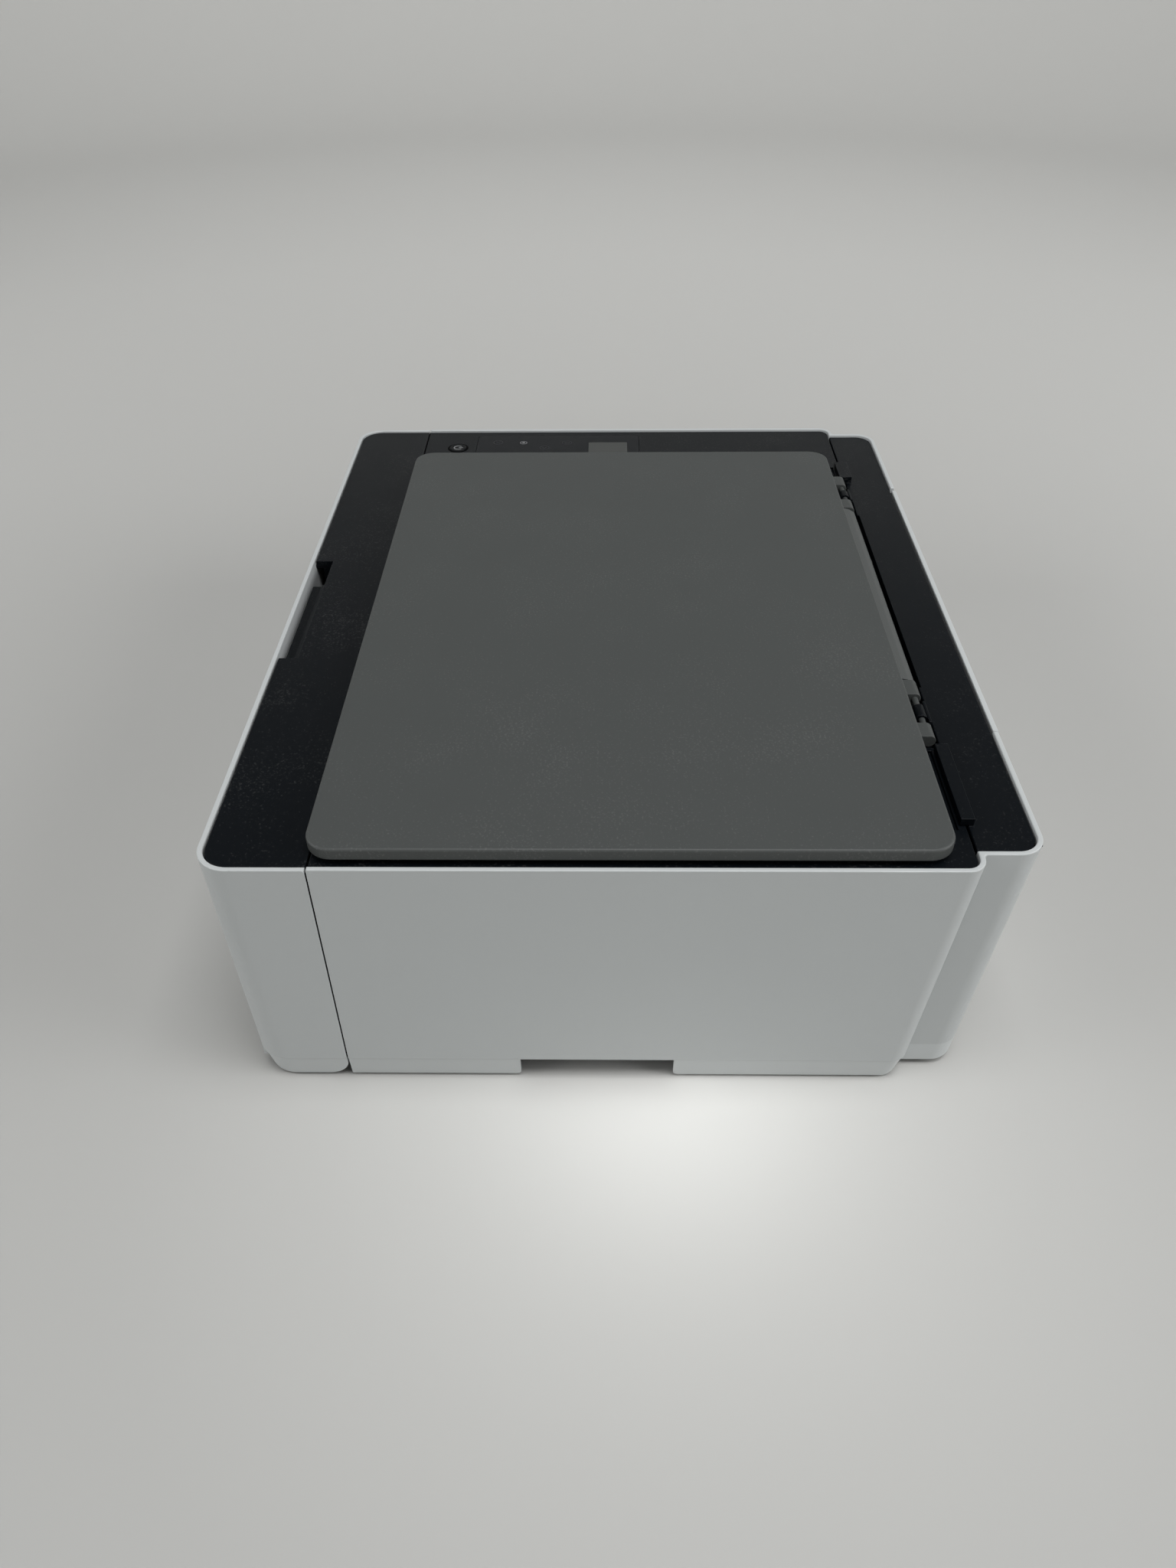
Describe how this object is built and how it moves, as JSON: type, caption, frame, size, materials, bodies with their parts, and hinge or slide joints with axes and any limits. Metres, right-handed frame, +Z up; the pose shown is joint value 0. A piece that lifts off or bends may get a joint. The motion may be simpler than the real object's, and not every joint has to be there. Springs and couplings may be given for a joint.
{
  "type": "multifunction printer",
  "caption": "Compact desktop printer with flatbed scanner: white case, black top, hinged grey lid, fold-down front cover, rear door and a working paper path.",
  "frame": {"origin": "centre of the footprint, on the surface that the feet stand on", "axes": "+X to the right seen from the front, -Y is the front, +Z up"},
  "size_m": [0.379, 0.3039, 0.127],
  "materials": {
    "case_white": "fine matt texture",
    "deck_black": "satin",
    "lid_grey": "fine matt texture",
    "panel_gloss": "gloss",
    "display_grey": "semi-gloss",
    "button_black": "satin",
    "clear_glass": "polished",
    "pad_white": "matt foam",
    "foot_rubber": "matt",
    "engine_dark": "moulded",
    "guide_grey": "moulded",
    "cartridge_black": "moulded",
    "plain_steel": "bright",
    "roller_rubber": "matt",
    "star_steel": "bright",
    "gear_white": "moulded",
    "pinion_brass": "turned",
    "belt_rubber": "toothed",
    "board_green": "lacquered",
    "supply_case": "moulded",
    "sensor_black": "moulded"
  },
  "bodies": {
    "base": {"main_shell": "case_white", "rear_panel": "case_white", "rear_deck": "deck_black", "main_deck": "deck_black", "scan_glass": "clear_glass", "touch_panel": "panel_gloss", "display_window": "display_grey", "control_board": "board_green", "front_bezel": "engine_dark", "base_pan": "engine_dark", "rubber_feet": "foot_rubber", "left_frame": "engine_dark", "right_frame": "engine_dark", "carriage_rail": "plain_steel", "carriage_belt": "belt_rubber", "carriage_motor": "plain_steel", "service_station": "engine_dark", "platen": "engine_dark", "roller_beams": "engine_dark", "feed_motor": "plain_steel", "output_tray": "engine_dark", "input_tray": "engine_dark", "main_board": "board_green", "power_supply": "supply_case", "power_inlet": "cartridge_black", "usb_port": "plain_steel", "scanner_tub": "engine_dark", "scan_rod": "plain_steel", "scan_motor": "plain_steel", "scan_belt": "belt_rubber", "lid_hinge_brackets": "deck_black", "case_screws": "plain_steel"},
    "front_cover": {"front_cover": "case_white", "front_top_strip": "deck_black", "tray_liner": "engine_dark"},
    "lid": {"lid_cover": "lid_grey", "lid_pad": "pad_white", "lid_bumpers": "foot_rubber"},
    "rear_door": {"rear_door": "case_white"},
    "power_button": {"power_button": "button_black"},
    "carriage": {"carriage": "engine_dark", "black_cartridge": "cartridge_black", "colour_cartridge": "cartridge_black"},
    "motor_pulley": {"motor_pulley": "gear_white"},
    "idler_pulley": {"idler_pulley": "gear_white"},
    "feed_roller": {"feed_roller": "roller_rubber", "feed_gear": "gear_white"},
    "output_roller": {"output_roller": "roller_rubber", "output_gear": "gear_white"},
    "idler_gear": {"idler_gear": "gear_white"},
    "motor_pinion": {"motor_pinion": "pinion_brass"},
    "pinch_rollers": {"pinch_rollers": "roller_rubber"},
    "star_wheels": {"star_wheels": "star_steel"},
    "pick_arm": {"pick_arm": "guide_grey"},
    "pick_roller": {"pick_roller": "roller_rubber"},
    "left_width_guide": {"left_width_guide": "guide_grey"},
    "right_width_guide": {"right_width_guide": "guide_grey"},
    "output_extension": {"output_extension": "guide_grey"},
    "scan_bar": {"scan_bar": "sensor_black"},
    "scan_pulley": {"scan_pulley": "gear_white"}
  },
  "joints": [
    {"name": "front_cover_hinge", "type": "hinge", "parent": "base", "child": "front_cover", "pos_m": [0, -0.141, 0.0115], "axis": [1, 0, 0], "range_deg": [0, 90]},
    {"name": "lid_hinge", "type": "hinge", "parent": "base", "child": "lid", "pos_m": [0, 0.122, 0.121], "axis": [-1, 0, 0], "range_deg": [0, 100]},
    {"name": "rear_door_hinge", "type": "hinge", "parent": "base", "child": "rear_door", "pos_m": [0, 0.1382, 0.0188], "axis": [-1, 0, 0], "range_deg": [0, 70]},
    {"name": "power_button_press", "type": "slide", "parent": "base", "child": "power_button", "axis": [0, 0, -1], "range_m": [0, 0.001], "stiffness_N_per_m": 500},
    {"name": "carriage_slide", "type": "slide", "parent": "base", "child": "carriage", "axis": [1, 0, 0], "range_m": [-0.27, 0]},
    {"name": "motor_pulley_spin", "type": "hinge", "parent": "base", "child": "motor_pulley", "pos_m": [0.166, 0.0432, 0.066], "axis": [0, 1, 0], "range_deg": [-3200, 20]},
    {"name": "idler_pulley_spin", "type": "hinge", "parent": "base", "child": "idler_pulley", "pos_m": [-0.152, 0.0432, 0.066], "axis": [0, 1, 0], "range_deg": [-3200, 20]},
    {"name": "feed_roller_spin", "type": "hinge", "parent": "base", "child": "feed_roller", "pos_m": [0, 0.018, 0.036], "axis": [1, 0, 0], "continuous": true},
    {"name": "output_roller_spin", "type": "hinge", "parent": "base", "child": "output_roller", "pos_m": [0, -0.028, 0.036], "axis": [1, 0, 0], "continuous": true},
    {"name": "idler_gear_spin", "type": "hinge", "parent": "base", "child": "idler_gear", "pos_m": [-0.167, -0.005, 0.01867], "axis": [1, 0, 0], "continuous": true},
    {"name": "motor_pinion_spin", "type": "hinge", "parent": "base", "child": "motor_pinion", "pos_m": [-0.167, 0.04055, 0.02779], "axis": [1, 0, 0], "continuous": true},
    {"name": "pinch_roller_spin", "type": "hinge", "parent": "base", "child": "pinch_rollers", "pos_m": [0, 0.018, 0.0457], "axis": [1, 0, 0], "continuous": true},
    {"name": "star_wheel_spin", "type": "hinge", "parent": "base", "child": "star_wheels", "pos_m": [0, -0.028, 0.0462], "axis": [1, 0, 0], "continuous": true},
    {"name": "pick_arm_swing", "type": "hinge", "parent": "base", "child": "pick_arm", "pos_m": [0, 0.072, 0.03], "axis": [1, 0, 0], "range_deg": [-20, 0]},
    {"name": "pick_roller_spin", "type": "hinge", "parent": "pick_arm", "child": "pick_roller", "pos_m": [0, 0.044, 0.0179], "axis": [1, 0, 0], "continuous": true},
    {"name": "left_guide_slide", "type": "slide", "parent": "base", "child": "left_width_guide", "axis": [1, 0, 0], "range_m": [0, 0.055]},
    {"name": "right_guide_slide", "type": "slide", "parent": "base", "child": "right_width_guide", "axis": [1, 0, 0], "range_m": [-0.055, 0]},
    {"name": "output_extension_slide", "type": "slide", "parent": "base", "child": "output_extension", "axis": [0, -1, 0], "range_m": [0, 0.028]},
    {"name": "scan_bar_slide", "type": "slide", "parent": "base", "child": "scan_bar", "axis": [1, 0, 0], "range_m": [0, 0.294]},
    {"name": "scan_pulley_spin", "type": "hinge", "parent": "base", "child": "scan_pulley", "pos_m": [-0.134, -0.06, 0.1011], "axis": [0, 0, 1], "range_deg": [-4300, 20]}
  ],
  "couplings": [
    {"joint": "motor_pulley_spin", "follows": "carriage_slide", "rad_per_m": 200},
    {"joint": "idler_pulley_spin", "follows": "carriage_slide", "rad_per_m": 200},
    {"joint": "scan_pulley_spin", "follows": "scan_bar_slide", "rad_per_m": -250},
    {"joint": "output_roller_spin", "follows": "feed_roller_spin", "ratio": 1},
    {"joint": "idler_gear_spin", "follows": "feed_roller_spin", "ratio": -2},
    {"joint": "motor_pinion_spin", "follows": "feed_roller_spin", "ratio": -4},
    {"joint": "pinch_roller_spin", "follows": "feed_roller_spin", "ratio": -1.7143},
    {"joint": "star_wheel_spin", "follows": "feed_roller_spin", "ratio": -1.5},
    {"joint": "pick_roller_spin", "follows": "feed_roller_spin", "ratio": 0.75},
    {"joint": "right_guide_slide", "follows": "left_guide_slide", "ratio": -1}
  ]
}
